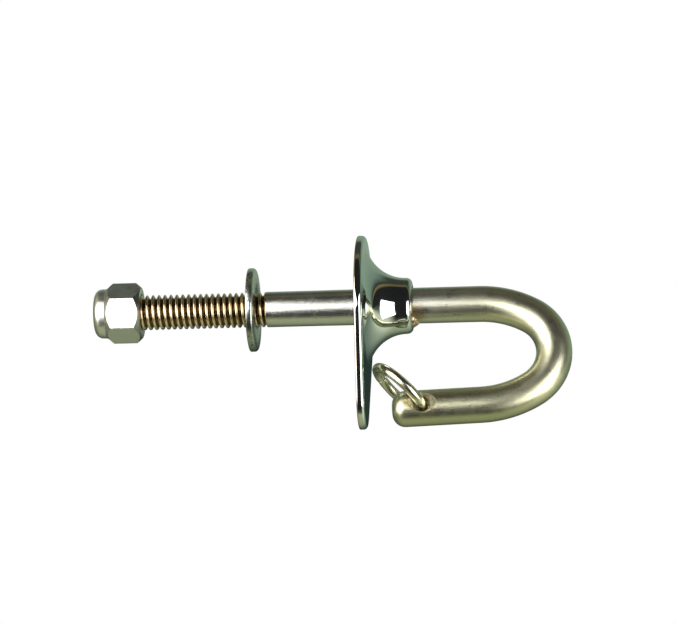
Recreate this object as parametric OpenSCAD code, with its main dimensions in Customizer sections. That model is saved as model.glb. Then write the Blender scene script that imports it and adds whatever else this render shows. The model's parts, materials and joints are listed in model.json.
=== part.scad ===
// Hooked pad eye: a round-bar hook on a threaded stud, with a flanged base plate,
// a flat washer, a nylon-insert lock nut and a keeper ring through the hook's tip.
//
// Frame: the origin is on the stud's axis, at the back face of the base plate.
// +X runs along the stud, out of the plate's front and into the hook.
// +Z points from the hook's tip towards the stud. The hook lies in the XZ plane.

/* [Hook] */
// Diameter of the round bar
rod_d = 9.5; // [9:0.1:10]
// Where the straight upper arm ends and the bend begins
bend_start = 31.7; // [28:0.1:40]
// Radius of the two flatter sides of the bend, at the bar's axis
side_r = 27; // [24:0.5:30]
// Angle turned in each flatter side of the bend
side_angle = 30.5; // [25:0.5:34]
// Radius of the tight nose of the bend, at the bar's axis
nose_r = 12; // [10:0.5:14]
// Angle turned round the nose
nose_angle = 117; // [112:1:120]
// Length of the straight lower arm, from the bend to the tip's end
lower_arm = 23.4; // [20:0.1:25]
// Radius that rounds off the tip
tip_round = 3.4; // [1:0.1:4]
// Distance from the tip's end to the drilled hole
hole_from_tip = 8; // [7.5:0.1:9]
// Diameter of the drilled hole
hole_d = 3.9; // [3.7:0.1:4.5]
// Diameter of the countersinks, at the bar's crown
countersink_d = 7.3; // [6.8:0.1:7.6]

/* [Stud] */
// Diameter of the plain shank behind the plate
shank_d = 9.4; // [9:0.1:9.5]
// Length of the plain shank behind the plate
shank_length = 24.8; // [20:0.1:30]
// Length of the stud from the plate's back face to its end
stud_length = 70.3; // [68:0.1:72]
// Outer diameter of the thread
thread_d = 9.3; // [9:0.05:9.35]
// Pitch of the thread
pitch = 1.5875; // [1.25:0.0125:1.75]

/* [Base plate] */
// Thickness of the plate
plate_t = 2.1; // [1.8:0.1:2.5]
// Radius of the plate's wide end, centred on the stud
plate_wide_r = 18.9; // [17:0.1:21]
// Radius of the plate's narrow end
plate_tail_r = 9; // [7:0.1:10]
// Distance from the stud's axis to the centre of the narrow end
plate_tail_drop = 25; // [24:0.1:27]
// Outer diameter of the collar round the bar
collar_d = 14.8; // [14:0.1:15]
// Distance from the plate's back face to the collar's end
collar_end = 14.1; // [13.5:0.1:15]
// Radius of the hollow flare between collar and plate
flare_r = 10.8; // [10.5:0.1:13]
// Length along the stud that the flare takes up, from the plate's front
flare_length = 10.5; // [9:0.1:10.5]
// Rounding of the collar's outer end
collar_round = 1.5; // [0.5:0.1:1.8]

/* [Washer] */
// Outer diameter of the washer
washer_d = 22.2; // [20:0.1:24]
// Inner diameter of the washer
washer_bore_d = 10.3; // [9.9:0.1:10.6]
// Thickness of the washer
washer_t = 2; // [1.5:0.1:2.5]
// Gap between the plate's back face and the washer
washer_back = 27.3; // [26:0.1:30]

/* [Lock nut] */
// Width across the nut's flats
nut_af = 14; // [13.5:0.1:14.5]
// Width across the nut's corners after they are chamfered round
nut_ac = 15.9; // [15.5:0.1:16.1]
// Length of the hexagon
nut_hex = 9.1; // [8:0.1:10]
// Length of the crimped collar that holds the insert
nut_collar = 3.4; // [3:0.1:4]
// Outer diameter of the crimped collar
nut_collar_d = 13.1; // [12.8:0.1:13.4]
// Gap between the plate's back face and the nut's bearing face
nut_back = 58.1; // [57.5:0.1:59]
// Angle the hexagon is turned about the stud
nut_turn = 22; // [0:1:59]

/* [Keeper ring] */
// Diameter of the ring's wire
ring_wire_d = 2.6; // [2.3:0.1:2.8]
// Outer diameter of the ring
ring_d = 19; // [18.5:0.1:20]
// Angle between the ring and the stud's axis, as it leans towards the plate
ring_lean = 41.8; // [40:0.1:60]

/* [Hidden] */
$fn = 96;

steel = [0.74, 0.75, 0.70];
polished_steel = [0.80, 0.81, 0.80];
tinted_weld = [0.52, 0.42, 0.33];
ring_steel = [0.78, 0.76, 0.64];
nylon = [0.88, 0.89, 0.86];

rod_r = rod_d / 2;
shank_r = shank_d / 2;
thread_r = thread_d / 2;
// a 60 degree thread is cut to 0.6134 of its pitch and keeps a crest an eighth of a pitch wide
thread_depth = 0.6134 * pitch;
root_r = thread_r - thread_depth;
crest = pitch / 8;
flank = thread_depth * tan(30);
stud_chamfer = 1.2;
// the last groove ends in a short cone up to the shank
run_out = 0.8;
threads = floor((stud_length - shank_length - run_out - stud_chamfer) / pitch);

// a shallow relief under the plate parts the turned shank from the bar
relief_r = rod_r - 0.25;
relief_length = 1.5;

// the bar is gripped by the collar with a hair of room for the weld to fill
collar_bore_r = rod_r + 0.08;
thread_room = 0.12;
nut_bore_r = thread_r + thread_room;

// place and heading of the bar's axis after each stretch of the bend: [x, z] and degrees turned
function after_bend(p, turned, r, angle) =
    p + r * [sin(turned + angle) - sin(turned), cos(turned + angle) - cos(turned)];
bend_a = [bend_start, 0];
bend_b = after_bend(bend_a, 0, side_r, side_angle);
bend_c = after_bend(bend_b, side_angle, nose_r, nose_angle);
bend_d = after_bend(bend_c, side_angle + nose_angle, side_r, side_angle);
full_turn = 2 * side_angle + nose_angle;
hole_centre = bend_d + (lower_arm - hole_from_tip) * [cos(full_turn), -sin(full_turn)];

// the ring's wire is set a little outside the hole's axis, so that its curve clears both mouths
ring_set = 0.3;
ring_axis_r = (ring_d - ring_wire_d) / 2;

// points of a quarter round from angle a to angle b about centre c
function round_points(c, r, a, b, steps = 8) =
    [for (i = [0:steps]) c + r * [cos(a + (b - a) * i / steps), sin(a + (b - a) * i / steps)]];

// turns a shape made along +Z so that it runs along +X
module along_x() { rotate([0, 90, 0]) children(); }

// One stretch of bent bar, starting at p with the given degrees already turned. A stretch with
// a tuck is a hair thinner and runs a little way into its neighbours, so that the solids join.
module bent_bar(p, turned, r, angle, tuck = 0) {
    centre = p - r * [sin(turned), cos(turned)];
    thinner = tuck > 0 ? 0.02 : 0;
    translate([centre[0], 0, centre[1]])
        rotate([0, turned + angle + tuck - 90, 0])
            rotate([90, 0, 0])
                rotate_extrude(angle = angle + 2 * tuck)
                    translate([r, 0]) circle(r = rod_r - thinner);
}

// a shape made along +Z from the start of the lower arm, laid along that arm
module along_lower_arm() {
    translate([bend_d[0], 0, bend_d[1]]) rotate([0, 90 + full_turn, 0]) children();
}

module lower_arm_with_tip() {
    along_lower_arm()
        rotate_extrude()
            polygon(concat([[0, 0], [rod_r, 0]],
                           round_points([rod_r - tip_round, lower_arm - tip_round], tip_round, 0, 90),
                           [[0, lower_arm]]));
}

module tip_hole() {
    sink_r = countersink_d / 2;
    sink_depth = sink_r - hole_d / 2;
    past = 1;
    translate([hole_centre[0], 0, hole_centre[1]])
        for (side = [-1, 1])
            rotate([side * 90, 0, 0]) {
                translate([0, 0, -past]) cylinder(d = hole_d, h = rod_d);
                translate([0, 0, rod_r - sink_depth])
                    cylinder(r1 = hole_d / 2, r2 = sink_r + past, h = sink_depth + past);
            }
}

// the stud, from its chamfered end up to the relief under the plate
module stud() {
    thread_end = stud_length - shank_length - run_out;
    grooves = [for (i = [0:threads - 1])
        let (top = thread_end - i * pitch)
        each [[root_r, top], [root_r, top - (pitch - crest - 2 * flank)],
              [thread_r, top - (pitch - crest - flank)], [thread_r, top - (pitch - flank)]]];
    mirror([1, 0, 0]) along_x()
        translate([0, 0, stud_length]) mirror([0, 0, 1])
            rotate_extrude()
                polygon(concat([[0, stud_length + relief_length], [relief_r, stud_length + relief_length],
                                [relief_r, stud_length], [shank_r, stud_length],
                                [shank_r, thread_end + run_out]],
                               grooves,
                               [[thread_r - stud_chamfer, 0], [0, 0]]));
}

module hook_rod() {
    tuck = 0.3;
    color(steel) {
        stud();
        difference() {
            union() {
                translate([relief_length, 0, 0]) along_x() cylinder(r = rod_r, h = bend_start - relief_length);
                bent_bar(bend_a, 0, side_r, side_angle, tuck);
                bent_bar(bend_b, side_angle, nose_r, nose_angle);
                bent_bar(bend_c, side_angle + nose_angle, side_r, side_angle, tuck);
                lower_arm_with_tip();
            }
            tip_hole();
        }
    }
}

// the plate's outline, drawn with its wide end on the stud's axis and its tail towards -Y
module plate_outline() {
    lean = asin((plate_wide_r - plate_tail_r) / plate_tail_drop);
    tail = [0, -plate_tail_drop];
    circle(r = plate_wide_r);
    translate(tail) circle(r = plate_tail_r);
    polygon([plate_wide_r * [cos(lean), -sin(lean)],
             tail + plate_tail_r * [cos(lean), -sin(lean)],
             tail + plate_tail_r * [-cos(lean), -sin(lean)],
             plate_wide_r * [-cos(lean), -sin(lean)]]);
}

module base_plate() {
    collar_r = collar_d / 2;
    flare_top = plate_t + flare_length;
    flare_turn = asin(flare_length / flare_r);
    color(polished_steel)
        difference() {
            union() {
                rotate([90, 0, 90]) linear_extrude(plate_t) plate_outline();
                along_x()
                    rotate_extrude()
                        polygon(concat([[0, plate_t / 2], [collar_r, plate_t / 2]],
                                       [[collar_r + flare_r * (1 - cos(flare_turn)), plate_t / 2]],
                                       round_points([collar_r + flare_r, flare_top], flare_r,
                                                    180 + flare_turn, 180, 10),
                                       round_points([collar_r - collar_round, collar_end - collar_round],
                                                    collar_round, 0, 90, 5),
                                       [[0, collar_end]]));
            }
            translate([-1, 0, 0]) along_x() cylinder(r = collar_bore_r, h = collar_end + 2);
        }
}

// a short fillet of weld under the bar, against the collar's end
module weld_bead() {
    bead_length = 1.8;
    bead_height = 1.3;
    bead_sweep = 72;
    color(tinted_weld)
        translate([collar_end, 0, 0]) along_x()
            rotate([0, 0, -bead_sweep * 0.45])
                rotate_extrude(angle = bead_sweep)
                    polygon([[rod_r, 0], [rod_r + bead_height, 0],
                             [rod_r + bead_height * 0.8, bead_length * 0.45], [rod_r, bead_length]]);
}

module flat_washer() {
    edge = 0.3;
    color(polished_steel)
        translate([-washer_back - washer_t, 0, 0]) along_x()
            difference() {
                rotate_extrude()
                    polygon([[0, 0], [washer_d / 2 - edge, 0], [washer_d / 2, edge],
                             [washer_d / 2, washer_t - edge], [washer_d / 2 - edge, washer_t],
                             [0, washer_t]]);
                translate([0, 0, -1]) cylinder(d = washer_bore_d, h = washer_t + 2);
            }
}

// room inside the crimped collar for the insert, measured from the hexagon's far end
insert_r = nut_collar_d / 2 - 1.1;
insert_t = 2.6;

module lock_nut() {
    face_r = nut_af / 2 - 0.2;
    corner_cut = (nut_ac / 2 - face_r) * tan(48);
    hex_start = nut_collar;
    hex_end = nut_collar + nut_hex;
    crimp = 1.6;
    color(polished_steel)
        translate([-nut_back - hex_end, 0, 0]) along_x()
            difference() {
                union() {
                    intersection() {
                        translate([0, 0, hex_start])
                            rotate([0, 0, nut_turn])
                                cylinder(d = nut_af / cos(30), h = nut_hex, $fn = 6);
                        rotate_extrude()
                            polygon([[0, hex_start], [face_r, hex_start],
                                     [nut_ac / 2, hex_start + corner_cut],
                                     [nut_ac / 2, hex_end - corner_cut],
                                     [face_r, hex_end], [0, hex_end]]);
                    }
                    rotate_extrude()
                        polygon(concat([[0, hex_start + 1], [nut_collar_d / 2, hex_start + 1]],
                                       round_points([nut_collar_d / 2 - crimp, crimp], crimp, 0, -90, 5),
                                       [[0, 0]]));
                }
                translate([0, 0, -1]) cylinder(r = nut_bore_r, h = hex_end + 2);
                translate([0, 0, nut_collar - insert_t]) cylinder(r = insert_r, h = insert_t);
                translate([0, 0, -1]) cylinder(r = insert_r - 0.6, h = nut_collar);
            }
}

module nylon_insert() {
    room = 0.03;
    color(nylon)
        translate([-nut_back - nut_hex - insert_t + room, 0, 0]) along_x()
            difference() {
                cylinder(r = insert_r - room, h = insert_t - 2 * room);
                translate([0, 0, -1]) cylinder(r = thread_r + 0.02, h = insert_t + 2);
            }
}

module keeper_ring() {
    color(ring_steel)
        translate([hole_centre[0], 0, hole_centre[1]])
            rotate([0, ring_lean, 0])
                translate([ring_set - ring_axis_r, 0, 0])
                    rotate_extrude() translate([ring_axis_r, 0]) circle(d = ring_wire_d, $fn = 48);
}

hook_rod();
base_plate();
weld_bead();
flat_washer();
lock_nut();
nylon_insert();
keeper_ring();
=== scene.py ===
"""A hooked pad eye in polished stainless steel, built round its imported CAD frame.

The row frame is in metres: the origin is on the stud's axis at the base plate's back face,
+X runs along the stud into the hook, and +Z points from the hook's tip to the stud.
Lengths below that are named in millimetres are turned into metres by MM.
"""
import json
import math

import bmesh
import bpy
from mathutils import Matrix, Vector


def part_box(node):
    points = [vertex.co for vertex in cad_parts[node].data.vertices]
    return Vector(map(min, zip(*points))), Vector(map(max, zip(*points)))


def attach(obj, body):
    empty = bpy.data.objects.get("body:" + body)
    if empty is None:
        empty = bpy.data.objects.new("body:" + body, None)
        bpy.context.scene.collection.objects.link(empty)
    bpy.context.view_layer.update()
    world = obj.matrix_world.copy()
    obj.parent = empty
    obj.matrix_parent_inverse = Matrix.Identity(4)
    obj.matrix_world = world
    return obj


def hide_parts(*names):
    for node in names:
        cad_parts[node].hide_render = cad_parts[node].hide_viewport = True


MM = 0.001
TAU = 2 * math.pi

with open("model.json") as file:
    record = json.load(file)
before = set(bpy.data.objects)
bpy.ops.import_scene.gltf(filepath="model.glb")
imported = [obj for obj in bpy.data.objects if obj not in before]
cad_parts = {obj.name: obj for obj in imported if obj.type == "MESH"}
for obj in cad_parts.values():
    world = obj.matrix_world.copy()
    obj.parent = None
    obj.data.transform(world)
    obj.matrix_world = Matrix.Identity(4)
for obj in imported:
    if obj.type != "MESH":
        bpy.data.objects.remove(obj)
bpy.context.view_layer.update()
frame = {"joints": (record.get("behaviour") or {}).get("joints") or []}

# ---------------------------------------------------------------- sizes, in millimetres

AROUND = 96  # points round the bar
UV_SCALE = 0.1  # surface coordinates for each millimetre

bar_low, bar_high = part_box("hook_rod")
plate_low, plate_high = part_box("base_plate")
washer_low, washer_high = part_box("flat_washer")
nut_low, nut_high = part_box("lock_nut")
insert_low, insert_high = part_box("nylon_insert")

ROD_R = bar_high.y / MM
STUD_END = bar_low.x / MM
SHANK_R = 4.7
THREAD_R = 4.65
PITCH = 1.5875
THREAD_DEPTH = 0.6134 * PITCH
THREAD_STOP = -24.5
THREAD_PHASE = -0.44
STUD_TIP_R = 3.45

BEND_START = 31.7
SIDE_R = 27.0
SIDE_TURN = math.radians(30.5)
NOSE_R = 12.0
NOSE_TURN = math.radians(117)
LOWER_ARM = 23.4
TIP_ROUND = 3.4
HOLE_D = 3.9
COUNTERSINK_D = 7.3

PLATE_T = 2.1
PLATE_WIDE_R = min(plate_high.y, plate_high.z) / MM
PLATE_TAIL_R = 9.0
PLATE_TAIL_DROP = -plate_low.z / MM - PLATE_TAIL_R
COLLAR_R = 7.4
COLLAR_END = plate_high.x / MM
COLLAR_ROUND = 1.5
COLLAR_BORE_R = ROD_R + 0.08
FLARE_R = 10.8
FLARE_LENGTH = 10.5

WASHER_R = washer_high.y / MM
WASHER_BORE_R = 5.15

NUT_AF = 14.0
NUT_COLLAR = 3.4
NUT_COLLAR_R = 6.55
NUT_TURN = math.radians(22 + 30)
NUT_BORE_R = THREAD_R + 0.12
NUT_CHAMFER = math.radians(48)
NUT_FACE_R = NUT_AF / 2 - 0.25
NUT_CRIMP_R = 2.0
NUT_LIP_R = NUT_COLLAR_R - 1.75
INSERT_SEAT_R = NUT_COLLAR_R - 1.1

RING_D = 19.0
RING_WIRE_R = 1.3
RING_R = RING_D / 2 - RING_WIRE_R
RING_SET = 0.3
RING_LEAN = math.radians(41.8)

JOINTS = {j["name"]: j for j in frame["joints"]}
HOLE = Vector(JOINTS["ring_swing"]["pos_m"]) / MM


# ---------------------------------------------------------------- mesh helpers

def new_object(name, points, faces, uvs=None):
    """An object from points in millimetres, with an optional (u, v) for each face corner."""
    mesh = bpy.data.meshes.new(name)
    mesh.from_pydata([Vector(p) * MM for p in points], [], faces)
    if uvs:
        layer = mesh.uv_layers.new(name="Surface")
        flat = [value for face in uvs for corner in face for value in corner]
        layer.data.foreach_set("uv", flat)
    piece = bpy.data.objects.new(name, mesh)
    bpy.context.scene.collection.objects.link(piece)
    return piece


def clean(piece, sharp_degrees, gap=1e-6):
    """Joins points that coincide, turns the faces outward and shades the piece smooth."""
    work = bmesh.new()
    work.from_mesh(piece.data)
    bmesh.ops.remove_doubles(work, verts=work.verts, dist=gap)
    bmesh.ops.dissolve_degenerate(work, edges=work.edges, dist=gap)
    bmesh.ops.recalc_face_normals(work, faces=work.faces)
    work.to_mesh(piece.data)
    work.free()
    piece.data.shade_smooth()
    piece.data.set_sharp_from_angle(angle=math.radians(sharp_degrees))


def skin(name, rings, closed=True, loop=False, caps=True):
    """A tube through rings of points. closed joins each ring's ends, loop joins last to first."""
    count = len(rings[0])
    points = [p for ring in rings for p in ring]
    faces = []
    uvs = []
    travel = [0.0]
    for a, b in zip(rings, rings[1:]):
        travel.append(travel[-1] + max((Vector(q) - Vector(p)).length for p, q in zip(a[::8], b[::8])))
    middle = rings[len(rings) // 2]
    girth = sum((Vector(q) - Vector(p)).length for p, q in zip(middle, middle[1:]))
    across = [girth * k / (count - 1) for k in range(count + 1)]
    spans = len(rings) if loop else len(rings) - 1
    columns = count if closed else count - 1
    for i in range(spans):
        n = (i + 1) % len(rings)
        far = travel[i + 1] if i + 1 < len(travel) else travel[i]
        for k in range(columns):
            m = (k + 1) % count
            faces.append((i * count + k, i * count + m, n * count + m, n * count + k))
            uvs.append([(travel[i] * UV_SCALE, across[k] * UV_SCALE),
                        (travel[i] * UV_SCALE, across[k + 1] * UV_SCALE),
                        (far * UV_SCALE, across[k + 1] * UV_SCALE),
                        (far * UV_SCALE, across[k] * UV_SCALE)])
    if caps and not loop:
        for start in (0, (len(rings) - 1) * count):
            face = tuple(range(start, start + count))
            faces.append(face if start else face[::-1])
            uvs.append([(0.0, 0.0)] * count)
    return new_object(name, points, faces, uvs)


def lathe(name, outline, steps=192, loop=True):
    """A turned piece about the X axis. outline is a list of (x, radius)."""
    rings = []
    for x, r in outline:
        rings.append([(x, r * math.sin(TAU * k / steps), r * math.cos(TAU * k / steps))
                      for k in range(steps)])
    return skin(name, rings, loop=loop, caps=not loop)


def rounding(centre, radius, start, end, steps=6):
    """Points (x, r) of an arc about centre, from start to end degrees, measured from +X."""
    out = []
    for k in range(steps + 1):
        a = math.radians(start + (end - start) * k / steps)
        out.append((centre[0] + radius * math.cos(a), centre[1] + radius * math.sin(a)))
    return out


def merged(name, pieces):
    """One object out of several open skins, which are removed."""
    work = bmesh.new()
    for piece in pieces:
        work.from_mesh(piece.data)
        bpy.data.objects.remove(piece)
    mesh = bpy.data.meshes.new(name)
    work.to_mesh(mesh)
    work.free()
    whole = bpy.data.objects.new(name, mesh)
    bpy.context.scene.collection.objects.link(whole)
    return whole


def cut(piece, cutter):
    """Cuts one closed piece out of another and removes the cutter."""
    modifier = piece.modifiers.new("Cut", "BOOLEAN")
    modifier.operation = "DIFFERENCE"
    modifier.solver = "EXACT"
    modifier.object = cutter
    bpy.context.view_layer.update()
    graph = bpy.context.evaluated_depsgraph_get()
    mesh = bpy.data.meshes.new_from_object(piece.evaluated_get(graph))
    piece.modifiers.clear()
    piece.data = mesh
    bpy.data.objects.remove(cutter)


# ---------------------------------------------------------------- materials

BRUSH_SCALE = (0.12, 3.5, 1)  # long streaks: slow along a surface, quick across it


def mix_rgb(nodes, links, factor, low, high):
    """A colour mix whose factor is a socket, between two fixed colours."""
    mix = nodes.new("ShaderNodeMix")
    mix.data_type = "RGBA"
    links.new(factor, mix.inputs["Factor"])
    mix.inputs["A"].default_value = (*low, 1)
    mix.inputs["B"].default_value = (*high, 1)
    return mix.outputs["Result"]


def spread(nodes, links, value, low, high):
    """Maps a noise socket, which lies mostly between 0.3 and 0.7, onto low to high."""
    remap = nodes.new("ShaderNodeMapRange")
    remap.inputs["From Min"].default_value = 0.3
    remap.inputs["From Max"].default_value = 0.7
    remap.inputs["To Min"].default_value = low
    remap.inputs["To Max"].default_value = high
    links.new(value, remap.inputs["Value"])
    return remap.outputs["Result"]


def noise(nodes, links, vector, scale, detail=4, roughness=0.55):
    texture = nodes.new("ShaderNodeTexNoise")
    texture.inputs["Scale"].default_value = scale
    texture.inputs["Detail"].default_value = detail
    texture.inputs["Roughness"].default_value = roughness
    links.new(vector, texture.inputs["Vector"])
    return texture.outputs["Fac"]


def stretched(nodes, links, vector, scale):
    mapping = nodes.new("ShaderNodeMapping")
    mapping.inputs["Scale"].default_value = scale
    links.new(vector, mapping.inputs["Vector"])
    return mapping.outputs["Vector"]


def near_point(nodes, links, place, centre, reach):
    """1 at a point given in millimetres, falling smoothly to 0 at reach."""
    distance = nodes.new("ShaderNodeVectorMath")
    distance.operation = "DISTANCE"
    distance.inputs[1].default_value = Vector(centre) * MM
    links.new(place, distance.inputs[0])
    fall = nodes.new("ShaderNodeMapRange")
    fall.interpolation_type = "SMOOTHSTEP"
    fall.inputs["From Min"].default_value = reach * MM
    fall.inputs["From Max"].default_value = 0
    links.new(distance.outputs["Value"], fall.inputs["Value"])
    return fall.outputs["Result"]


def along(nodes, links, place, axis, low, high):
    """0 to 1 as a point's share along an axis goes from low to high, in millimetres."""
    share = nodes.new("ShaderNodeVectorMath")
    share.operation = "DOT_PRODUCT"
    share.inputs[1].default_value = axis
    links.new(place, share.inputs[0])
    rise = nodes.new("ShaderNodeMapRange")
    rise.interpolation_type = "SMOOTHSTEP"
    rise.inputs["From Min"].default_value = low * MM
    rise.inputs["From Max"].default_value = high * MM
    links.new(share.outputs["Value"], rise.inputs["Value"])
    return rise.outputs["Result"]


def tinted(nodes, links, colour, factor, tint):
    """Multiplies a colour socket by a tint where factor is high, for real stains and for painted shade."""
    mix = nodes.new("ShaderNodeMix")
    mix.data_type = "RGBA"
    mix.blend_type = "MULTIPLY"
    links.new(factor, mix.inputs["Factor"])
    links.new(colour, mix.inputs["A"])
    mix.inputs["B"].default_value = (*tint, 1)
    return mix.outputs["Result"]


def metal(name, low, high, rough, brush=0.0, grain=0.0, blotch=900):
    """Bare metal: blotchy colour, streaks along the surface's own length, and fine pitting."""
    material = bpy.data.materials.new(name)
    material.use_nodes = True
    nodes = material.node_tree.nodes
    links = material.node_tree.links
    shader = nodes["Principled BSDF"]
    shader.inputs["Metallic"].default_value = 1.0
    place = nodes.new("ShaderNodeTexCoord").outputs["Object"]
    surface = nodes.new("ShaderNodeUVMap")
    surface.uv_map = "Surface"
    blotches = noise(nodes, links, place, blotch, 3)
    links.new(mix_rgb(nodes, links, blotches, low, high), shader.inputs["Base Color"])
    streaks = noise(nodes, links, stretched(nodes, links, surface.outputs["UV"], BRUSH_SCALE), 14, 6, 0.7)
    smudges = noise(nodes, links, place, blotch * 0.35, 2)
    both = nodes.new("ShaderNodeMix")
    both.inputs["Factor"].default_value = 0.5
    links.new(streaks, both.inputs["A"])
    links.new(smudges, both.inputs["B"])
    links.new(spread(nodes, links, both.outputs["Result"], *rough), shader.inputs["Roughness"])
    pits = noise(nodes, links, place, 6000, 2)
    brushing = nodes.new("ShaderNodeBump")
    brushing.inputs["Strength"].default_value = brush
    brushing.inputs["Distance"].default_value = 0.05 * MM
    links.new(streaks, brushing.inputs["Height"])
    pitting = nodes.new("ShaderNodeBump")
    pitting.inputs["Strength"].default_value = grain
    pitting.inputs["Distance"].default_value = 0.02 * MM
    links.new(pits, pitting.inputs["Height"])
    links.new(brushing.outputs["Normal"], pitting.inputs["Normal"])
    links.new(pitting.outputs["Normal"], shader.inputs["Normal"])
    return material


def tint_stain_or_shade(material, make_factor, tint):
    """Tints a material's colour where make_factor(nodes, links, place) is high, for real stains and for
    painted shade and reflections.
    """
    nodes = material.node_tree.nodes
    links = material.node_tree.links
    base = nodes["Principled BSDF"].inputs["Base Color"]
    colour = base.links[0].from_socket
    place = nodes.new("ShaderNodeTexCoord").outputs["Object"]
    factor = make_factor(nodes, links, place)
    links.new(tinted(nodes, links, colour, factor, tint), base)


def roughened(material, make_factor, extra):
    """Raises a material's roughness by extra where make_factor(nodes, links, place) is high."""
    nodes = material.node_tree.nodes
    links = material.node_tree.links
    rough = nodes["Principled BSDF"].inputs["Roughness"]
    value = rough.links[0].from_socket
    place = nodes.new("ShaderNodeTexCoord").outputs["Object"]
    raised = nodes.new("ShaderNodeMath")
    raised.operation = "MULTIPLY_ADD"
    links.new(make_factor(nodes, links, place), raised.inputs[0])
    raised.inputs[1].default_value = extra
    links.new(value, raised.inputs[2])
    links.new(raised.outputs["Value"], rough)


def satin_steel():
    """The bar: neutral on the shank, yellower and rougher round the hook, heat-tinted at weld and hole,
    with painted shade darkening the lower arm.
    """
    steel = metal("SatinSteel", (0.60, 0.60, 0.54), (0.74, 0.74, 0.68), (0.19, 0.31), brush=0.6, grain=0.3)
    roughened(steel, lambda n, k, p: along(n, k, p, (1, 0, 0), -4, 8), 0.05)
    tint_stain_or_shade(steel, lambda n, k, p: along(n, k, p, (1, 0, -0.6), 0, 40), (1.0, 0.98, 0.78))
    # painted shade: the lower arm is darkened a little
    tint_stain_or_shade(steel, lambda n, k, p: along(n, k, p, (0, 0, -1), 17, 27), (0.84, 0.84, 0.78))
    tint_stain_or_shade(steel, lambda n, k, p: near_point(n, k, p, (15.0, -3.2, -3.6), 4.2), (0.62, 0.46, 0.30))
    tint_stain_or_shade(steel, lambda n, k, p: near_point(n, k, p, (HOLE.x - 3.2, -4.5, HOLE.z), 2.6), (1.0, 0.84, 0.60))
    return steel


def thread_steel():
    """The thread: warm bright crests over grooves darkened with painted shade."""
    steel = metal("ThreadSteel", (0.74, 0.58, 0.36), (0.90, 0.76, 0.54), (0.12, 0.22), brush=0.2, grain=0.3)
    # painted shade: the grooves are darkened towards the thread's root
    tint_stain_or_shade(steel, groove_painted_shade, (0.24, 0.21, 0.16))
    return steel


def mirror_steel():
    """The plate and collar: mirror polish with a painted warm reflection on the edge at the plate's back.
    """
    steel = metal("MirrorSteel", (0.66, 0.71, 0.67), (0.74, 0.79, 0.75), (0.03, 0.08), brush=0.03)
    # painted reflection: the rim's back edge is tinted warm and a little darker
    tint_stain_or_shade(steel, lambda n, k, p: along(n, k, p, (-1, 0, 0), -0.9, -0.1), (0.92, 0.74, 0.62))
    return steel


def washer_steel():
    """The washer: marked all over, and darkened to a cool grey on its lower half as painted shade."""
    steel = metal("WasherSteel", (0.62, 0.64, 0.57), (0.74, 0.76, 0.68), (0.17, 0.30), brush=0.1, grain=0.2)
    tint_stain_or_shade(steel, flecks, (0.30, 0.30, 0.26))
    # painted shade: the lower half is darkened to a cool grey
    tint_stain_or_shade(steel, lambda n, k, p: along(n, k, p, (0, 0, -1), 0, 6), (0.55, 0.58, 0.58))
    return steel


def nylon():
    """The insert: the same mottle as the metals, without the metal."""
    plastic = metal("Nylon", (0.80, 0.81, 0.77), (0.88, 0.88, 0.85), (0.35, 0.5), grain=0.3)
    plastic.node_tree.nodes["Principled BSDF"].inputs["Metallic"].default_value = 0.0
    return plastic


def flecks(nodes, links, place):
    """Small scattered marks, 1 inside a mark and 0 between them."""
    marks = nodes.new("ShaderNodeMapRange")
    marks.inputs["From Min"].default_value = 0.58
    marks.inputs["From Max"].default_value = 0.66
    links.new(noise(nodes, links, place, 1500, 2), marks.inputs["Value"])
    return marks.outputs["Result"]


def groove_painted_shade(nodes, links, place):
    """1 at the thread's root and 0 near its crest, from the distance to the stud's axis; it masks the
    painted shade in the grooves.
    """
    flat = nodes.new("ShaderNodeVectorMath")
    flat.operation = "MULTIPLY"
    flat.inputs[1].default_value = (0, 1, 1)
    links.new(place, flat.inputs[0])
    length = nodes.new("ShaderNodeVectorMath")
    length.operation = "LENGTH"
    links.new(flat.outputs["Vector"], length.inputs[0])
    depth = nodes.new("ShaderNodeMapRange")
    depth.inputs["From Min"].default_value = (THREAD_R - 0.25) * MM
    depth.inputs["From Max"].default_value = (THREAD_R - 0.85) * MM
    links.new(length.outputs["Value"], depth.inputs["Value"])
    return depth.outputs["Result"]


def dress(piece, materials, body, node):
    """Gives a piece its materials, the CAD body it rides on and the CAD node it replaces."""
    chosen = [face.material_index for face in piece.data.polygons]
    piece.data.materials.clear()  # this sets every face back to the first material
    for material in materials:
        piece.data.materials.append(material)
    for face, index in zip(piece.data.polygons, chosen):
        face.material_index = index
    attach(piece, body)
    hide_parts(node)


# ---------------------------------------------------------------- hook bar

def bar_ring(centre, turned, radius):
    """A ring of the bar about centre (x, z), its axis turned down by an angle from +X."""
    up = Vector((math.sin(turned), 0, math.cos(turned)))
    side = Vector((0, 1, 0))
    middle = Vector((centre[0], 0, centre[1]))
    return [middle + radius * (math.cos(TAU * k / AROUND) * up + math.sin(TAU * k / AROUND) * side)
            for k in range(AROUND)]


def thread_radius(x, depth_share):
    """The stud's radius at x, where depth_share of the full thread depth is cut."""
    fade = min(max((THREAD_STOP - x) / (0.4 * PITCH), 0.0), 1.0)
    crest = SHANK_R + (THREAD_R - SHANK_R) * fade
    chamfer = STUD_TIP_R + (x - STUD_END)
    return min(crest - THREAD_DEPTH * depth_share * fade, chamfer)


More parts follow.
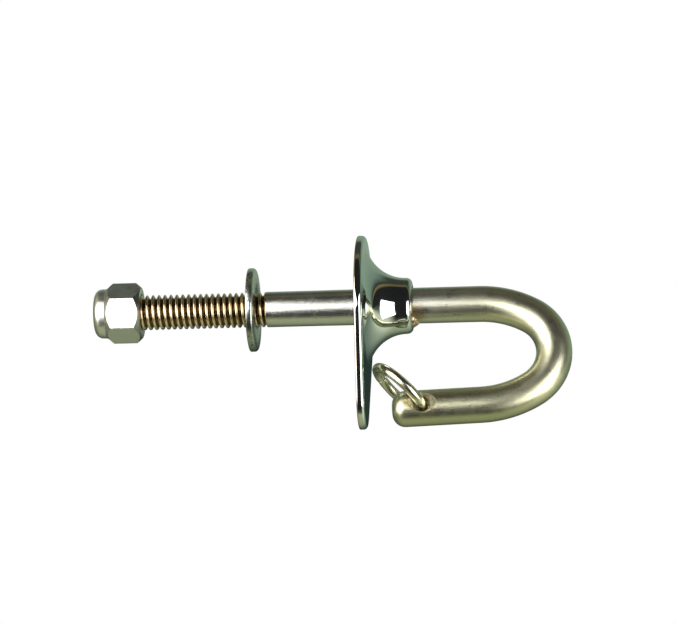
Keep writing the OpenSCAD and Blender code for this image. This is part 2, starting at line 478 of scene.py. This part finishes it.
def thread_grid():
    """The threaded stretch as rings that follow the helix, clamped to its two ends."""
    half = [(0.09, 0.02), (0.155, 0.10), (0.20, 0.24), (0.30, 0.56), (0.38, 0.82), (0.43, 0.95)]
    profile = [(0.0, 0.0)] + half + [(0.5, 1.0)] + [(1 - share, depth) for share, depth in half[::-1]]
    turns = math.ceil((THREAD_STOP - STUD_END) / PITCH) + 2
    rings = []
    for turn in range(-2, turns):
        for share, depth in profile:
            ring = []
            for k in range(AROUND + 1):
                angle = TAU * k / AROUND
                x = STUD_END + (turn + share + THREAD_PHASE + 1 - k / AROUND) * PITCH
                x = min(max(x, STUD_END), THREAD_STOP)
                r = thread_radius(x, depth)
                ring.append(Vector((x, r * math.sin(angle), r * math.cos(angle))))
            rings.append(ring)
    return rings


def bend_path():
    """(centre, turn) stations along the bar's axis, from the shank to the end of the bend."""
    stations = [((x, 0.0), 0.0) for x in (THREAD_STOP, -12.0, 0.0, COLLAR_END, 20.0, BEND_START)]
    x, z, turned = BEND_START, 0.0, 0.0
    for radius, turn, steps in ((SIDE_R, SIDE_TURN, 14), (NOSE_R, NOSE_TURN, 40), (SIDE_R, SIDE_TURN, 14)):
        for k in range(1, steps + 1):
            a = turned + turn * k / steps
            stations.append(((x + radius * (math.sin(a) - math.sin(turned)),
                              z + radius * (math.cos(a) - math.cos(turned))), a))
        (x, z), turned = stations[-1]
    return stations


def tip_hole_cutter():
    """A double-ended countersink drill through the tip, along Y."""
    hole = HOLE_D / 2
    sink = COUNTERSINK_D / 2
    foot = ROD_R - (sink - hole)
    half = [(0.0, hole), (foot - 0.25, hole), (foot - 0.05, hole + 0.06), (foot + 0.15, hole + 0.22),
            (ROD_R - 0.25, sink - 0.28), (ROD_R, sink + 0.05), (ROD_R + 1, sink + 1.4)]
    outline = [(-x, r) for x, r in half[::-1]] + half[1:]
    steps = 72
    rings = []
    for y, r in outline:
        rings.append([(HOLE.x + r * math.sin(TAU * k / steps), y, HOLE.z + r * math.cos(TAU * k / steps))
                      for k in range(steps)])
    cutter = skin("Drill", rings)
    clean(cutter, 30)
    return cutter


def paint(piece, index):
    """Gives all of a piece's faces one of its materials."""
    for face in piece.data.polygons:
        face.material_index = index


def build_hook_bar(satin, threaded, drilled):
    """The bar and its helical thread as one skin, with the tip drilled through."""
    thread = skin("Thread", thread_grid(), closed=False, caps=False)
    paint(thread, 1)
    rings = []
    stations = bend_path()
    for centre, turned in stations:
        radius = SHANK_R if centre[0] < -1 else ROD_R
        rings.append(bar_ring(centre, turned, radius))
    (x, z), turned = stations[-1]
    forward = Vector((math.cos(turned), 0, -math.sin(turned)))
    start = Vector((x, 0, z))
    lengths = [(LOWER_ARM * share, ROD_R) for share in (0.15, 0.3, 0.45, 0.6, 0.75)]
    for k in range(13):
        a = math.radians(90 * k / 12)
        lengths.append((LOWER_ARM - TIP_ROUND + TIP_ROUND * math.sin(a),
                        ROD_R - TIP_ROUND + TIP_ROUND * math.cos(a)))
    for length, radius in lengths:
        centre = start + forward * length
        rings.append(bar_ring((centre.x, centre.z), turned, radius))
    bar = skin("Bar", rings, caps=False)
    tip_cap = [Vector(p) for p in rings[-1]]
    cap = new_object("TipCap", tip_cap, [tuple(range(AROUND))], [[(0.0, 0.0)] * AROUND])
    end_ring = [(STUD_END, STUD_TIP_R * math.sin(TAU * k / AROUND), STUD_TIP_R * math.cos(TAU * k / AROUND))
                for k in range(AROUND)]
    end = new_object("StudCap", end_ring, [tuple(range(AROUND))], [[(0.0, 0.0)] * AROUND])
    bar = merged("hook_bar", [bar, thread, cap, end])
    clean(bar, 40, 2e-6)
    drill = tip_hole_cutter()
    paint(drill, 2)
    for material in (satin, threaded, drilled):
        bar.data.materials.append(material)
        drill.data.materials.append(material)
    cut(bar, drill)
    bar.data.shade_smooth()
    bar.data.set_sharp_from_angle(angle=math.radians(32))
    dress(bar, [satin, threaded, drilled], "hook", "hook_rod")
    return bar


# ---------------------------------------------------------------- base plate

def plate_edge(angle):
    """The plate's outline in direction angle from +Z: its (y, z) point and outward normal."""
    ray = Vector((math.sin(angle), math.cos(angle)))
    lean = math.asin((PLATE_WIDE_R - PLATE_TAIL_R) / PLATE_TAIL_DROP)
    side = 1 if ray.x >= 0 else -1
    flank = Vector((side * math.cos(lean), -math.sin(lean)))
    tail = Vector((0, -PLATE_TAIL_DROP))
    if math.atan2(ray.y, abs(ray.x)) >= -lean:
        return ray * PLATE_WIDE_R, ray
    on_flank = ray * (PLATE_WIDE_R / flank.dot(ray))
    last = tail + flank * PLATE_TAIL_R
    if on_flank.y > last.y:
        return on_flank, flank
    nearest = ray.dot(tail)
    reach = nearest + math.sqrt(nearest ** 2 - tail.length ** 2 + PLATE_TAIL_R ** 2)
    point = ray * reach
    return point, (point - tail).normalized()


def flare_foot(start, heading, end, pull=1.6):
    """A smooth (x, r) curve from the flare's heading at start to the plate's face at end."""
    a, d = Vector(start), Vector(end)
    b, c = a + heading * pull, d - Vector((0, pull))
    points = []
    for k in range(1, 8):
        t = k / 7
        away = 1 - t
        points.append(tuple(away ** 3 * a + 3 * away ** 2 * t * b + 3 * away * t * t * c + t ** 3 * d))
    return points


def build_base_plate(material, back):
    """Collar, flare and plate as one skin, from the collar's mouth over the rim to the back."""
    steps = 288
    directions = [TAU * k / steps for k in range(steps)]
    edges = [plate_edge(a) for a in directions]
    flare_top = PLATE_T + FLARE_LENGTH
    turn = math.degrees(math.asin(FLARE_LENGTH / FLARE_R))
    mouth = rounding((COLLAR_END - 0.35, COLLAR_BORE_R + 0.35), 0.35, -90, 0, 3)
    lip = rounding((COLLAR_END - COLLAR_ROUND, COLLAR_R - COLLAR_ROUND), COLLAR_ROUND, 0, 90, 8)
    flare = rounding((flare_top, COLLAR_R + FLARE_R), FLARE_R, -90, -90 - turn * 0.9, 20)
    foot = (PLATE_T, COLLAR_R + FLARE_R * (1 - math.cos(math.radians(turn))) + 1.3)
    heading = Vector((-math.cos(math.radians(turn * 0.9)), math.sin(math.radians(turn * 0.9))))
    blend = flare_foot(flare[-1], heading, foot)
    rings = []
    for x, r in mouth + lip + flare + blend:
        rings.append([(x, r * math.sin(a), r * math.cos(a)) for a in directions])
    soft, back_soft = 1.0, 0.35
    face = []
    for share in (0.35, 0.7, 1.0):
        ring = []
        for a, (point, normal) in zip(directions, edges):
            inner = Vector((math.sin(a), math.cos(a))) * foot[1]
            outer = point - normal * soft
            at = inner.lerp(outer, share)
            ring.append((PLATE_T, at.x, at.y))
        face.append(ring)
    rings += face
    for x_mid, round_r, start in ((PLATE_T - soft, soft, 0), (back_soft, back_soft, 90)):
        for k in range(0, 8):
            a = math.radians(start + 90 * k / 7)
            ring = []
            for point, normal in edges:
                at = point - normal * round_r * (1 - math.sin(a))
                ring.append((x_mid + round_r * math.cos(a), at.x, at.y))
            if k or start:
                rings.append(ring)
    for share in (0.4, 0.8, 1.0):
        ring = []
        for a, (point, normal) in zip(directions, edges):
            outer = point - normal * back_soft
            inner = Vector((math.sin(a), math.cos(a))) * (COLLAR_BORE_R + 0.3)
            at = outer.lerp(inner, share)
            ring.append((0.0, at.x, at.y))
        rings.append(ring)
    for x, r in ((0.3, COLLAR_BORE_R), (COLLAR_END / 2, COLLAR_BORE_R)):
        rings.append([(x, r * math.sin(a), r * math.cos(a)) for a in directions])
    plate = skin("flange_plate", rings, loop=True)
    clean(plate, 40)
    for face in plate.data.polygons:
        if face.normal.x < -0.9 and face.center.x < 0.1 * MM:
            face.material_index = 1
    dress(plate, [material, back], "hook", "base_plate")
    return plate


# ---------------------------------------------------------------- weld bead

def build_weld_bead(material):
    """A lumpy fillet of weld under the bar, against the collar's end."""
    sweep = math.radians(72)
    middle = math.radians(176)
    steps = 72
    sides = 14
    rings = []
    for k in range(steps + 1):
        t = k / steps
        a = middle + (t - 0.5) * sweep
        swell = math.sin(math.pi * t) ** 0.5
        ripple = 1 + 0.13 * math.sin(t * 26) + 0.07 * math.sin(t * 61 + 1)
        length = (0.2 + 1.35 * swell) * ripple
        height = (0.12 + 1.0 * swell) * (2 - ripple)
        ring = []
        for s in range(sides + 1):
            b = math.radians(90 * s / sides)
            x = COLLAR_END - 0.05 + length * math.sin(b) ** 1.15
            r = ROD_R - 0.05 + height * math.cos(b) ** 1.15
            ring.append((x, r * math.sin(a), r * math.cos(a)))
        ring.append((COLLAR_END - 0.05, (ROD_R - 0.05) * math.sin(a), (ROD_R - 0.05) * math.cos(a)))
        rings.append(ring)
    bead = skin("weld_fillet", rings)
    clean(bead, 50)
    dress(bead, [material], "hook", "weld_bead")
    return bead


# ---------------------------------------------------------------- washer and nut

def build_washer(material):
    """A flat washer, softened more on the edge that faces the plate."""
    low, high = washer_low.x / MM, washer_high.x / MM
    soft, edge = 0.85, 0.3
    outline = rounding((high - edge, WASHER_BORE_R + edge), edge, -90, 0, 3)
    outline += rounding((high - soft, WASHER_R - soft), soft, 0, 90, 6)
    outline += rounding((low + edge, WASHER_R - edge), edge, 90, 180, 4)
    outline += rounding((low + edge, WASHER_BORE_R + edge), edge, 180, 270, 3)
    washer = lathe("flat_washer_disc", outline)
    clean(washer, 45)
    dress(washer, [material], "washer", "flat_washer")
    return washer


def hexagon(across_flats, corner_r, flat_steps=7, corner_steps=5):
    """(angle, radius) points round a hexagon with rounded corners."""
    half = across_flats / 2
    reach = (half - corner_r) / math.cos(math.radians(30))
    out = []
    for side in range(6):
        corner = math.radians(60 * side)
        centre = Vector((math.cos(corner), math.sin(corner))) * reach
        points = []
        for k in range(corner_steps + 1):
            a = corner + math.radians(-30 + 60 * k / corner_steps)
            points.append(centre + Vector((math.cos(a), math.sin(a))) * corner_r)
        after = math.radians(60 * side + 60)
        next_centre = Vector((math.cos(after), math.sin(after))) * reach
        a = corner + math.radians(30)
        first = points[-1]
        last = next_centre + Vector((math.cos(a), math.sin(a))) * corner_r
        points += [first.lerp(last, k / flat_steps) for k in range(1, flat_steps)]
        out += [(math.atan2(p.y, p.x), p.length) for p in points]
    return out


def nut_profile(far, near, hex_far):
    """(x, radius) of the nut's round parts: the bore's mouth, then collar, mouth and seat."""
    collar = rounding((far + NUT_CRIMP_R, NUT_COLLAR_R - NUT_CRIMP_R), NUT_CRIMP_R, 168, 90, 8)
    mouth = [(near - 0.7, NUT_BORE_R), (near, NUT_BORE_R + 0.35), (near, NUT_FACE_R - 0.15),
             (near - 0.05, NUT_FACE_R)]
    outside = [(hex_far + 0.05, NUT_FACE_R), (hex_far, NUT_FACE_R - 0.1), (hex_far, NUT_COLLAR_R + 0.25),
               (hex_far - 0.25, NUT_COLLAR_R + 0.03)]
    inside = [(far + 0.06, NUT_LIP_R + 0.1), (far + 0.18, NUT_LIP_R), (far + 0.75, NUT_LIP_R),
              (far + 0.8, INSERT_SEAT_R), (hex_far, INSERT_SEAT_R), (hex_far, NUT_BORE_R + 0.2),
              (hex_far + 0.5, NUT_BORE_R)]
    return mouth, outside + collar[::-1] + inside


def build_nut(material, chamfer):
    """The hexagon with its two turned chamfers, the crimped collar and the plain bore."""
    far, near = nut_low.x / MM, nut_high.x / MM
    hex_far = far + NUT_COLLAR
    slope = math.tan(NUT_CHAMFER)
    columns = hexagon(NUT_AF, 0.35)
    mouth, rest = nut_profile(far, near, hex_far)

    def point(x, r, a):
        return (x, r * math.cos(a + NUT_TURN), r * math.sin(a + NUT_TURN))

    rings = [[point(x, r, a) for a, _ in columns] for x, r in mouth]
    rings.append([point(near - 0.05 - (r - NUT_FACE_R) * slope, r, a) for a, r in columns])
    rings.append([point((near + hex_far) / 2, r, a) for a, r in columns])
    rings.append([point(hex_far + 0.05 + (r - NUT_FACE_R) * slope, r, a) for a, r in columns])
    rings += [[point(x, r, a) for a, _ in columns] for x, r in rest]
    nut = skin("lock_nut_shell", rings, loop=True)
    clean(nut, 20)
    # painted shade: the chamfer on the washer's side gets the second, dark material
    for face in nut.data.polygons:
        outside = math.hypot(face.center.y, face.center.z) > 5.5 * MM
        if outside and face.center.x > (near - 2.5) * MM and 0.3 < face.normal.x < 0.95:
            face.material_index = 1
    dress(nut, [material, chamfer], "nut", "lock_nut")
    return nut


def build_insert(material):
    """The nylon ring in the nut's collar, with a bore just clear of the thread."""
    low, high = insert_low.x / MM, insert_high.x / MM
    outer, inner, soft = insert_high.y / MM, THREAD_R + 0.02, 0.25
    outline = [(high, inner + 0.1), (high, outer)]
    outline += rounding((low + soft, outer - soft), soft, 90, 180, 4)
    outline += rounding((low + soft, inner + soft), soft, 180, 270, 4)
    outline += [(high - 0.1, inner)]
    insert = lathe("nylon_ring", outline)
    clean(insert, 40)
    dress(insert, [material], "insert", "nylon_insert")
    return insert


# ---------------------------------------------------------------- keeper ring

def build_keeper_ring(material):
    """A ring of wire whose two cut ends meet with a hairline gap."""
    steps, sides = 240, 40
    seam = math.radians(152)
    half_gap = math.radians(0.55)
    turn = Matrix.Rotation(RING_LEAN, 3, "Y")
    centre = Vector((RING_SET - RING_R, 0, 0))
    rings = []
    ends = ((0.0, 0.80), (0.0015, 0.93), (0.004, 1.0))
    shares = list(ends)
    shares += [(0.004 + 0.992 * k / steps, 1.0) for k in range(1, steps)]
    shares += [(1 - t, s) for t, s in ends[::-1]]
    for t, size in shares:
        a = seam + half_gap + (TAU - 2 * half_gap) * t
        out = Vector((math.cos(a), math.sin(a), 0))
        spring = 0.12 * (t - 0.5)
        ring = []
        for k in range(sides):
            b = TAU * k / sides
            at = centre + out * (RING_R + RING_WIRE_R * size * math.cos(b))
            at += Vector((0, 0, RING_WIRE_R * size * math.sin(b) + spring * (2 * abs(t - 0.5)) ** 6))
            ring.append(turn @ at + HOLE)
        rings.append(ring)
    ring_piece = skin("keeper_wire", rings)
    clean(ring_piece, 40)
    dress(ring_piece, [material], "ring", "keeper_ring")
    return ring_piece


# ---------------------------------------------------------------- camera, floor and light

VIEW_AZIMUTH = math.radians(5.7)
VIEW_ELEVATION = math.radians(-22)
VIEW_ROLL = math.radians(0.618)
VIEW_DISTANCE = 1.0
VIEW_TARGET = Vector((-5.75, 0, -1.22)) * MM
PIXELS_WIDE = 676
SCALE = 3778  # the picture's pixels for each metre at the target
SENSOR = 36


def view_axes():
    """The camera's back, right and up directions before it rolls."""
    a, e = VIEW_AZIMUTH, VIEW_ELEVATION
    back = Vector((math.sin(a) * math.cos(e), -math.cos(a) * math.cos(e), math.sin(e)))
    right = Vector((math.cos(a), math.sin(a), 0))
    return back, right, back.cross(right)


def build_camera():
    back, right, up = view_axes()
    rolled_right = right * math.cos(VIEW_ROLL) + up * math.sin(VIEW_ROLL)
    rolled_up = up * math.cos(VIEW_ROLL) - right * math.sin(VIEW_ROLL)
    data = bpy.data.cameras.new("Camera")
    data.lens = SCALE * VIEW_DISTANCE * SENSOR / PIXELS_WIDE
    data.sensor_width = SENSOR
    data.clip_start = 0.01
    camera = bpy.data.objects.new("Camera", data)
    bpy.context.scene.collection.objects.link(camera)
    turn = Matrix((rolled_right, rolled_up, back)).transposed()
    camera.matrix_world = Matrix.Translation(VIEW_TARGET + back * VIEW_DISTANCE) @ turn.to_4x4()
    bpy.context.scene.camera = camera


def toward(w, v, u):
    """A direction from its shares to the right of, above and towards the photo's camera."""
    back, right, up = view_axes()
    return (right * w + up * v + back * u).normalized()


def build_softbox(name, direction, distance, size, turn, brightness, colour):
    """A rectangular softbox that faces the object, unseen by the camera itself."""
    data = bpy.data.lights.new(name, "AREA")
    data.shape = "RECTANGLE"
    data.size, data.size_y = size
    data.energy = brightness * math.pi * size[0] * size[1]
    data.color = colour
    box = bpy.data.objects.new(name, data)
    bpy.context.scene.collection.objects.link(box)
    facing = direction.to_track_quat("Z", "Y").to_matrix().to_4x4()
    box.matrix_world = Matrix.Translation(direction * distance) @ facing @ Matrix.Rotation(turn, 4, "Z")
    box.visible_camera = False


def build_lights():
    build_softbox("SoftboxLeft", toward(-0.69, 0.16, 0.70), 0.5, (0.60, 0.54), math.radians(24), 3.6,
                  (1, 1, 1))
    build_softbox("SoftboxRight", toward(0.67, -0.12, 0.74), 0.4, (0.30, 0.36), math.radians(20), 3.6,
                  (1, 1, 1))


class Graph:
    """Short names for the few nodes the world needs."""

    def __init__(self, tree):
        self.nodes = tree.nodes
        self.links = tree.links

    def math(self, operation, a, b=None):
        node = self.nodes.new("ShaderNodeMath")
        node.operation = operation
        for socket, value in zip(node.inputs, (a, b)):
            if isinstance(value, (int, float)):
                socket.default_value = value
            elif value is not None:
                self.links.new(value, socket)
        return node.outputs["Value"]

    def dot(self, direction, axis):
        node = self.nodes.new("ShaderNodeVectorMath")
        node.operation = "DOT_PRODUCT"
        node.inputs[1].default_value = axis
        self.links.new(direction, node.inputs[0])
        return node.outputs["Value"]

    def ramp(self, factor, stops):
        """A colour ramp from (place, red, green, blue) stops."""
        node = self.nodes.new("ShaderNodeValToRGB")
        self.links.new(factor, node.inputs["Fac"])
        elements = node.color_ramp.elements
        elements.remove(elements[-1])
        for index, (place, *colour) in enumerate(stops):
            stop = elements[0] if index == 0 else elements.new(place)
            stop.position = place
            stop.color = (*colour, 1)
        return node.outputs["Color"]

    def step(self, value, low, high):
        """A smooth step from 0 at low to 1 at high."""
        node = self.nodes.new("ShaderNodeMapRange")
        node.interpolation_type = "SMOOTHSTEP"
        node.inputs["From Min"].default_value = low
        node.inputs["From Max"].default_value = high
        self.links.new(value, node.inputs["Value"])
        return node.outputs["Result"]

    def mix(self, factor, a, b):
        node = self.nodes.new("ShaderNodeMix")
        node.data_type = "RGBA"
        self.links.new(factor, node.inputs["Factor"])
        self.links.new(a, node.inputs["A"])
        self.links.new(b, node.inputs["B"])
        return node.outputs["Result"]


def by_degrees(stops):
    return [((degrees + 180) / 360, *colour) for degrees, *colour in stops]


# Each ramp runs by the height angle round the object: 0 is the photo's camera, 90 is above it,
# 180 is behind the object and -90 is below it.
MIDDLE = [(-180, 0.02, 0.035, 0.03), (-165, 0.05, 0.08, 0.065), (-140, 0.10, 0.12, 0.09),
          (-115, 0.32, 0.36, 0.23), (-95, 0.40, 0.44, 0.29), (-68, 0.44, 0.48, 0.30),
          (-58, 0.08, 0.09, 0.06), (-45, 0.02, 0.02, 0.02), (70, 0.015, 0.016, 0.016),
          (83, 0.02, 0.02, 0.02), (88, 0.15, 0.13, 0.06), (93, 0.15, 0.13, 0.06),
          (99, 0.05, 0.05, 0.04), (128, 0.05, 0.06, 0.05), (140, 0.24, 0.32, 0.24),
          (179, 0.28, 0.37, 0.28)]
LEFT = [(-180, 0.12, 0.13, 0.09), (-120, 0.22, 0.22, 0.13), (-60, 0.36, 0.35, 0.22),
        (0, 1.00, 0.95, 0.75), (60, 0.62, 0.58, 0.38), (110, 0.40, 0.37, 0.24),
        (150, 0.12, 0.12, 0.08), (180, 0.20, 0.22, 0.15)]
RIGHT = [(-180, 0.12, 0.17, 0.14), (-120, 0.40, 0.46, 0.34), (-75, 0.88, 0.91, 0.71),
         (-40, 0.66, 0.69, 0.52), (-10, 0.12, 0.14, 0.11), (20, 0.02, 0.02, 0.02),
         (80, 0.02, 0.02, 0.02), (86, 0.20, 0.17, 0.08), (92, 0.20, 0.17, 0.08), (98, 0.03, 0.03, 0.03),
         (125, 0.20, 0.27, 0.21), (180, 0.30, 0.41, 0.31)]


def build_world():
    """White paper all round, with dark, olive and sage studio surfaces for the metal to reflect."""
    world = bpy.data.worlds.new("Studio")
    bpy.context.scene.world = world
    world.use_nodes = True
    world.node_tree.nodes.clear()
    graph = Graph(world.node_tree)
    back, right, up = view_axes()
    direction = graph.nodes.new("ShaderNodeTexCoord").outputs["Generated"]
    aside = graph.dot(direction, right)
    angle = graph.math("ARCTAN2", graph.dot(direction, up), graph.dot(direction, back))
    turn = graph.math("ADD", graph.math("DIVIDE", angle, TAU), 0.5)
    studio = graph.ramp(turn, by_degrees(MIDDLE))
    studio = graph.mix(graph.step(aside, -0.35, -0.75), studio, graph.ramp(turn, by_degrees(LEFT)))
    studio = graph.mix(graph.step(aside, 0.30, 0.70), studio, graph.ramp(turn, by_degrees(RIGHT)))
    lit = graph.nodes.new("ShaderNodeBackground")
    graph.links.new(studio, lit.inputs["Color"])
    paper = graph.nodes.new("ShaderNodeBackground")
    paper.inputs["Color"].default_value = (1, 1, 1, 1)
    choose = graph.nodes.new("ShaderNodeMixShader")
    mirrored = graph.nodes.new("ShaderNodeLightPath").outputs["Is Glossy Ray"]
    graph.links.new(mirrored, choose.inputs["Fac"])
    graph.links.new(paper.outputs["Background"], choose.inputs[1])
    graph.links.new(lit.outputs["Background"], choose.inputs[2])
    out = graph.nodes.new("ShaderNodeOutputWorld")
    graph.links.new(choose.outputs["Shader"], out.inputs["Surface"])


def build_floor():
    """A pale sheet far below the object, which the metal doesn't reflect."""
    size = 6.0
    level = -0.55
    floor = new_object("Floor", [(-size / MM, -size / MM, level / MM), (size / MM, -size / MM, level / MM),
                                 (size / MM, size / MM, level / MM), (-size / MM, size / MM, level / MM)],
                       [(0, 1, 2, 3)])
    material = bpy.data.materials.new("FloorPaper")
    material.use_nodes = True
    shader = material.node_tree.nodes["Principled BSDF"]
    shader.inputs["Base Color"].default_value = (0.70, 0.71, 0.69, 1)
    shader.inputs["Roughness"].default_value = 0.9
    floor.data.materials.append(material)
    floor.visible_glossy = False


build_camera()
build_world()
build_lights()
build_floor()

PLATE_BACK = metal("PlateBack", (0.42, 0.43, 0.40), (0.58, 0.58, 0.54), (0.30, 0.45), brush=0.2, grain=0.4)
BRIGHT = metal("BrightSteel", (0.66, 0.67, 0.62), (0.80, 0.80, 0.75), (0.24, 0.38), brush=0.1, grain=0.3)
# painted shade: a dark steel for the nut's chamfer on the washer's side
CHAMFER_SHADE = metal("ChamferPaintedShade", (0.16, 0.17, 0.15), (0.30, 0.31, 0.27), (0.24, 0.38), grain=0.3)
RING = metal("RingSteel", (0.54, 0.52, 0.38), (0.72, 0.70, 0.54), (0.15, 0.28), brush=0.35, grain=0.15)
WELD = metal("WeldSteel", (0.30, 0.20, 0.11), (0.72, 0.60, 0.42), (0.18, 0.38), grain=0.6, blotch=2400)
HOLE_STEEL = metal("HoleSteel", (0.78, 0.72, 0.54), (0.94, 0.90, 0.76), (0.22, 0.36), grain=0.2)

build_hook_bar(satin_steel(), thread_steel(), HOLE_STEEL)
build_base_plate(mirror_steel(), PLATE_BACK)
build_weld_bead(WELD)
build_washer(washer_steel())
build_nut(BRIGHT, CHAMFER_SHADE)
build_insert(nylon())
build_keeper_ring(RING)

bpy.context.scene.view_settings.view_transform = "Standard"
